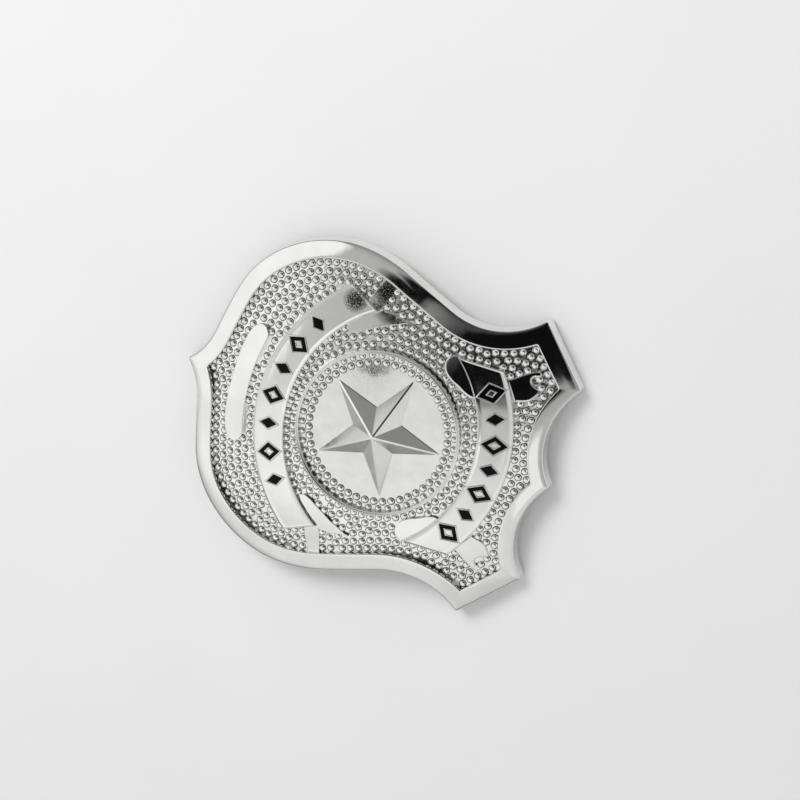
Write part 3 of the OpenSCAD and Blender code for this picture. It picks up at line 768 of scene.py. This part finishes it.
def star():
    """A five-pointed star of flat facets, whose ridges are narrow flats."""
    angle = np.radians(36 * np.arange(10))
    r = np.where(np.arange(10) % 2 == 0, STAR_R, STAR_IN)
    ring = lambda z: np.c_[r * np.sin(angle), MEDAL_Y + r * np.cos(angle), np.full(10, z)]
    verts = np.vstack([ring(DISC_Z - 0.3), ring(DISC_Z + STAR_WALL), (0, MEDAL_Y, DISC_Z + STAR_H)])
    faces = []
    for i in range(10):
        j = (i + 1) % 10
        faces += [(i, j, 10 + j, 10 + i), (10 + i, 10 + j, 20)]
    mesh = bpy.data.meshes.new("star")
    mesh.from_pydata((verts * MM).tolist(), [], faces)
    bm = bmesh.new()
    bm.from_mesh(mesh)
    bmesh.ops.recalc_face_normals(bm, faces=bm.faces)
    bm.verts.ensure_lookup_table()
    apex = bm.verts[20]
    ridges = [e for e in bm.edges if apex in e.verts and (e.other_vert(apex).index - 10) % 2 == 0]
    bmesh.ops.bevel(bm, geom=ridges, offset=RIDGE * MM, segments=1, profile=0.5, affect="EDGES")
    bm.to_mesh(mesh)
    bm.free()
    finish_piece("star", mesh, satin, 8)


star()

# The posts that carry the pin: their places, their radius, and the height in the pin's bar where they start
POST_X, POST_Y, POST_R, POST_Z = 10.0, 8.0, 1.8, 3.80


def posts():
    """Two shafts that widen into the back of the shield."""
    a = np.linspace(0, 2 * np.pi, 48, endpoint=False)
    top = face_z(POST_X, POST_Y) + BACK
    rows = [(POST_R, POST_Z), (POST_R, top - 0.55), (POST_R + 0.03, top - 0.36), (POST_R + 0.12, top - 0.18),
            (POST_R + 0.26, top - 0.04), (POST_R + 0.46, top + 0.10)]
    verts, faces = [], []
    for x in (-POST_X, POST_X):
        faces += grid_faces(len(rows), len(a), len(verts) * len(a), wrap=True)
        verts += [np.c_[x + r * np.sin(a), POST_Y + r * np.cos(a), np.full(len(a), z)] for r, z in rows]
    add_piece("pin_posts", np.vstack(verts), faces, polished, 50)


posts()

# The field's beads: radius, height, distance between middles, and distance of the rows that follow the rim
BEAD_R, BEAD_H, PITCH, ROW = 0.655, 0.36, 1.39, 1.22
# How far a bead's middle stays from the rim's inner wall, the ring and the raised parts
CLEAR_RIM, CLEAR_RING, CLEAR_FORM = 0.67, 0.66, 0.36
# The two rows of beads that follow the ring: radius and number
RING_ROWS = ((13.97, 63), (15.2, 68))
# How far a bead may stand over the border of the free room: in a row, in a gap, and at the end
OVER_ROW, OVER_GAP, OVER_END = 0.12, 0.10, 0.16
# Least distance from other beads: in a row, in a gap, and at the end
NEAR_ROW, NEAR_GAP, NEAR_END = 1.14, 1.04, 1.1
# A grid over the field on which the free room is worked out
CELL = 0.25
GRID_X, GRID_Y = np.arange(-26, 26.01, CELL), np.arange(-29, 30.01, CELL)
GRID = np.array([(x, y) for x in GRID_X for y in GRID_Y])


def to_outline(p, poly):
    """Distance from points to a closed outline, less than 0 inside it."""
    a, b = poly, np.roll(poly, -1, axis=0)
    d = b - a
    w = p[:, None] - a[None]
    t = np.clip((w * d).sum(-1) / ((d * d).sum(-1) + 1e-12), 0, 1)
    near = np.linalg.norm(w - t[..., None] * d, axis=-1).min(1)
    between = (a[None, :, 1] > p[:, 1:]) != (b[None, :, 1] > p[:, 1:])
    at_x = (b - a)[None, :, 0] * (p[:, 1:] - a[None, :, 1]) / ((b - a)[None, :, 1] + 1e-12) + a[None, :, 0]
    cross = between & (p[:, :1] < at_x)
    return np.where(cross.sum(1) % 2 == 1, -near, near)


def free_room():
    """At each point of the grid, how far it stands clear of the rim, the ring and the raised parts."""
    band = lambda a, b: np.vstack([even(a, 90), even(b, 90)[::-1]])
    parts = [band(up_in, up_out), band(lo_in, lo_out), BAR[::3]]
    for points in FORMS.values():
        parts += [points[::3], points[::3] * (-1, 1)]
    wall = rim_loop(RIM_W, 0.3)[::5]
    room = []
    for p in np.array_split(GRID, 60):
        rim = -to_outline(p, wall) - CLEAR_RIM
        ring = np.linalg.norm(p - MEDAL, axis=1) - RING_R - CLEAR_RING
        forms = np.min([to_outline(p, q) for q in parts], axis=0) - CLEAR_FORM
        room.append(np.minimum(np.minimum(rim, ring), forms))
    return np.concatenate(room).reshape(len(GRID_X), len(GRID_Y))


ROOM = free_room()


def clearance(p):
    """Free room and its slope at points, from the grid."""
    u, v = (p[:, 0] - GRID_X[0]) / CELL, (p[:, 1] - GRID_Y[0]) / CELL
    i, j = np.clip(u.astype(int), 0, len(GRID_X) - 2), np.clip(v.astype(int), 0, len(GRID_Y) - 2)
    u, v = u - i, v - j
    a, b, c, d = ROOM[i, j], ROOM[i + 1, j], ROOM[i, j + 1], ROOM[i + 1, j + 1]
    value = (a * (1 - u) + b * u) * (1 - v) + (c * (1 - u) + d * u) * v
    return value, np.c_[(b - a) * (1 - v) + (d - c) * v, (c - a) * (1 - u) + (d - b) * u] / CELL


def add_row(places, row):
    """Adds the beads of a row that lie in the free room and clear of all others."""
    for q in row[clearance(row)[0] > -OVER_ROW]:
        if not places or np.min(np.linalg.norm(np.array(places) - q, axis=1)) > NEAR_ROW:
            places.append(q)


def rim_row(k):
    """Places of the k-th row of beads along the rim."""
    line = rim_loop(RIM_W + CLEAR_RIM + ROW * k, 0.3)
    line = np.vstack([line, line[:1]])
    return even(line, int(run(line)[-1] / PITCH) + 1)[:-1]


def ring_row(r, n):
    """Places of a row of beads round the medallion."""
    a = np.arange(n) * 2 * np.pi / n
    return MEDAL + r * np.c_[np.sin(a), np.cos(a)]


def settle(places, rounds, spread=1.0):
    """Beads push each other apart, and the borders of the free room push them back."""
    places = np.array(places)
    for _ in range(rounds):
        d = places[:, None] - places[None]
        r = np.linalg.norm(d, axis=-1) + np.eye(len(places)) * 9
        push = np.clip(PITCH * spread - r, 0, None) / r
        places = places + 0.2 * (d * push[..., None]).sum(1)
        room, way = clearance(places)
        places = places - np.minimum(room, 0)[:, None] * way
    return places


def field_places():
    """Places of the field's beads: rows along the rim and the ring, then single ones in the gaps."""
    rows = [rim_row(k) for k in range(7)]
    rows.insert(3, ring_row(*RING_ROWS[0]))
    rows.append(ring_row(*RING_ROWS[1]))
    places = []
    for row in rows:
        add_row(places, row)
    places = list(settle(places, 25))
    free = GRID[ROOM.ravel() > -OVER_GAP]
    while True:
        gap = np.min(np.linalg.norm(free[:, None] - np.array(places)[None], axis=-1), axis=1)
        if gap.max() < NEAR_GAP:
            break
        places.append(free[gap.argmax()])
    places = settle(places, 60)
    places = places[clearance(places)[0] > -OVER_END]
    # where two still crowd each other, one of them is dropped
    keep = []
    for q in places:
        if all(np.hypot(*(q - k)) > NEAR_END for k in keep):
            keep.append(q)
    return settle(keep, 120, 1.02)


def field_beads():
    places = field_places()
    left = places[:, 0] < 0
    for word, part in (("left", places[left]), ("right", places[~left])):
        beads("ground_beads_" + word, [(x, y, face_z(x, y) + FIELD, BEAD_R, BEAD_H) for x, y in part])


field_beads()

# The enamel and the pin keep their solids
for name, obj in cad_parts.items():
    if "enamel" in name or name == "back_pin":
        obj.data.materials.clear()
        obj.data.materials.append(enamel if "enamel" in name else steel)


# The floor, the light and the camera

# Half the floor's width, and how far it lies under the badge
FLOOR, FLOOR_DROP = 2000, 0.03


def floor():
    mesh = bpy.data.meshes.new("floor")
    half = FLOOR * MM
    corners = [(-half, -half, 0), (half, -half, 0), (half, half, 0), (-half, half, 0)]
    mesh.from_pydata(corners, [], [(0, 1, 2, 3)])
    mesh.materials.append(floor_paper())
    obj = bpy.data.objects.new("floor", mesh)
    bpy.context.scene.collection.objects.link(obj)
    obj.location.z = -FLOOR_DROP * MM


# The studio's brightness from left (0) to right (1) in reflections, and its even brightness for all else
SIDE_LIGHT = [(0.0, 0.28), (0.26, 0.28), (0.44, 0.46), (0.55, 0.52), (0.62, 0.66), (0.68, 0.86),
              (0.77, 0.94), (0.81, 0.76), (1.0, 0.66)]
AMBIENT = 0.62
# Round lights in the studio by direction: x and y of the middle, radius along each, softness and brightness
LIGHTS = [(-0.22, -0.60, 0.27, 0.18, 0.12, 0.97), (0.02, -0.68, 0.42, 0.2, 0.15, 0.96),
          (-0.1, 1.0, 0.8, 0.17, 0.2, 0.70), (0.30, 0.39, 0.16, 0.14, 0.35, 0.90),
          (-0.1, -1.0, 0.6, 0.12, 0.3, 0.55)]
# Black cards that the polished metal mirrors, in the same terms, and their brightness
BIG_CARD = (-0.28, 0.14, 0.41, 0.36, 0.06)
SMALL_CARDS = [(-0.36, 0.40, 0.36, 0.20, 0.06), (-0.075, -0.215, 0.075, 0.09, 0.25)]
BLACK = 0.004
# The big card is cut off where y + slope * x is low: the slope, and from where to where it fades
CUT_SLOPE, CUT_FADE = 0.64, (-0.365, -0.315)
# The same for the two borders of the streak of light across it
STREAK_SLOPE, STREAK_TOP, STREAK_FOOT = 0.5, (-0.13, 0.03), (-0.18, -0.145)


def outside(tree, x, y, mid_x, mid_y, r_x, r_y, soft):
    """1 outside an ellipse of directions, 0 inside it."""
    dx = calc(tree, "DIVIDE", calc(tree, "SUBTRACT", x, mid_x), r_x)
    dy = calc(tree, "DIVIDE", calc(tree, "SUBTRACT", y, mid_y), r_y)
    squares = calc(tree, "ADD", calc(tree, "MULTIPLY", dx, dx), calc(tree, "MULTIPLY", dy, dy))
    return ramp(tree, calc(tree, "SQRT", squares), 1 - soft, 1 + soft, 0, 1)


def studio_sky(tree, x, y, z):
    """The studio's brightness in reflections, without the cards."""
    side = tree.nodes.new("ShaderNodeValToRGB")
    side.color_ramp.interpolation = "EASE"
    for i, (at, v) in enumerate(SIDE_LIGHT):
        stop = side.color_ramp.elements[i] if i < 2 else side.color_ramp.elements.new(at)
        stop.position, stop.color = at, (v, v, v, 1)
    tree.links.new(ramp(tree, x, -1, 1, 0, 1), side.inputs["Fac"])
    # it is weaker to the badge's top, and near the floor at the right
    sky = calc(tree, "MULTIPLY", side.outputs["Color"], ramp(tree, y, 0.05, 0.35, 1.0, 0.78))
    low = calc(tree, "MAXIMUM", ramp(tree, z, 0.25, 0.60, 0.30, 1.0), ramp(tree, x, 0.35, 0.65, 1.0, 0.0))
    sky = calc(tree, "MULTIPLY", sky, low)
    for *spot, bright in LIGHTS:
        inside = calc(tree, "SUBTRACT", 1.0, outside(tree, x, y, *spot))
        sky = calc(tree, "MAXIMUM", sky, calc(tree, "MULTIPLY", inside, bright))
    return sky


def card_shade(tree, x, y):
    """0 where a black card stands, 1 elsewhere."""
    slant = calc(tree, "ADD", y, calc(tree, "MULTIPLY", x, CUT_SLOPE))
    shade = calc(tree, "MAXIMUM", outside(tree, x, y, *BIG_CARD), ramp(tree, slant, *CUT_FADE, 1, 0))
    for card in SMALL_CARDS:
        shade = calc(tree, "MINIMUM", shade, outside(tree, x, y, *card))
    return shade


def card_streak(tree, x, y):
    """A dim streak of light across the big card, brighter to the right."""
    slant = calc(tree, "ADD", y, calc(tree, "MULTIPLY", x, STREAK_SLOPE))
    streak = calc(tree, "MULTIPLY", ramp(tree, x, -0.32, -0.05, 0.06, 0.24), ramp(tree, x, 0.0, 0.05, 1, 0))
    streak = calc(tree, "MULTIPLY", streak, ramp(tree, slant, *STREAK_TOP, 1, 0))
    return calc(tree, "MULTIPLY", streak, ramp(tree, slant, *STREAK_FOOT, 0, 1))


def studio():
    """Plain soft studio light by direction. Its lights and cards show in reflections alone."""
    world = bpy.data.worlds.new("studio")
    bpy.context.scene.world = world
    world.use_nodes = True
    tree = world.node_tree
    place = tree.nodes.new("ShaderNodeTexCoord")
    split = tree.nodes.new("ShaderNodeSeparateXYZ")
    tree.links.new(place.outputs["Generated"], split.inputs["Vector"])
    x, y, z = split.outputs
    shaded = calc(tree, "MULTIPLY", studio_sky(tree, x, y, z), card_shade(tree, x, y))
    mirrored = calc(tree, "ADD", BLACK, calc(tree, "MAXIMUM", shaded, card_streak(tree, x, y)))
    path = tree.nodes.new("ShaderNodeLightPath")
    plain = calc(tree, "MAXIMUM", path.outputs["Is Diffuse Ray"], path.outputs["Is Camera Ray"])
    mirrored = calc(tree, "MULTIPLY", mirrored, calc(tree, "SUBTRACT", 1.0, plain))
    level = calc(tree, "ADD", mirrored, calc(tree, "MULTIPLY", plain, AMBIENT))
    grey = tree.nodes.new("ShaderNodeCombineColor")
    for socket in grey.inputs[:3]:
        tree.links.new(level, socket)
    tree.links.new(grey.outputs[0], tree.nodes["Background"].inputs["Color"])
    tree.nodes["Background"].inputs["Strength"].default_value = 1.0


# The soft lamp's place, its size and its power in watts
LAMP_AT, LAMP_SIZE, LAMP_POWER = Vector((-260, -300, 420)) * MM, 280, 1.7


def softbox():
    """A round soft lamp that looks at the badge and gives it a shadow."""
    data = bpy.data.lights.new("softbox", "AREA")
    data.shape = "DISK"
    data.size = LAMP_SIZE * MM
    data.energy = LAMP_POWER
    lamp = bpy.data.objects.new("softbox", data)
    bpy.context.scene.collection.objects.link(lamp)
    lamp.location = LAMP_AT
    lamp.rotation_mode = "QUATERNION"
    lamp.rotation_quaternion = (-LAMP_AT).to_track_quat("-Z", "Y")
    lamp.visible_glossy = False


# The camera's place, the point of the floor that it looks at, its roll in degrees and its lens
CAMERA_AT, CAMERA_AIM = Vector((-93.7954, 55.7908, 288.0753)) * MM, Vector((-4.2986, 3.8539, 0)) * MM
CAMERA_ROLL, CAMERA_LENS = -131.7967, 87.03


def camera():
    """The photo's view: from nearly above, turned so that the badge's top points to the right."""
    data = bpy.data.cameras.new("camera")
    data.lens = CAMERA_LENS
    data.sensor_width = 36
    data.clip_start = 0.01
    cam = bpy.data.objects.new("camera", data)
    bpy.context.scene.collection.objects.link(cam)
    cam.location = CAMERA_AT
    cam.rotation_mode = "QUATERNION"
    look = (CAMERA_AIM - CAMERA_AT).to_track_quat("-Z", "Y")
    cam.rotation_quaternion = look @ Quaternion((0, 0, 1), math.radians(CAMERA_ROLL))
    bpy.context.scene.camera = cam


floor()
studio()
softbox()
camera()
bpy.context.scene.view_settings.view_transform = "Standard"
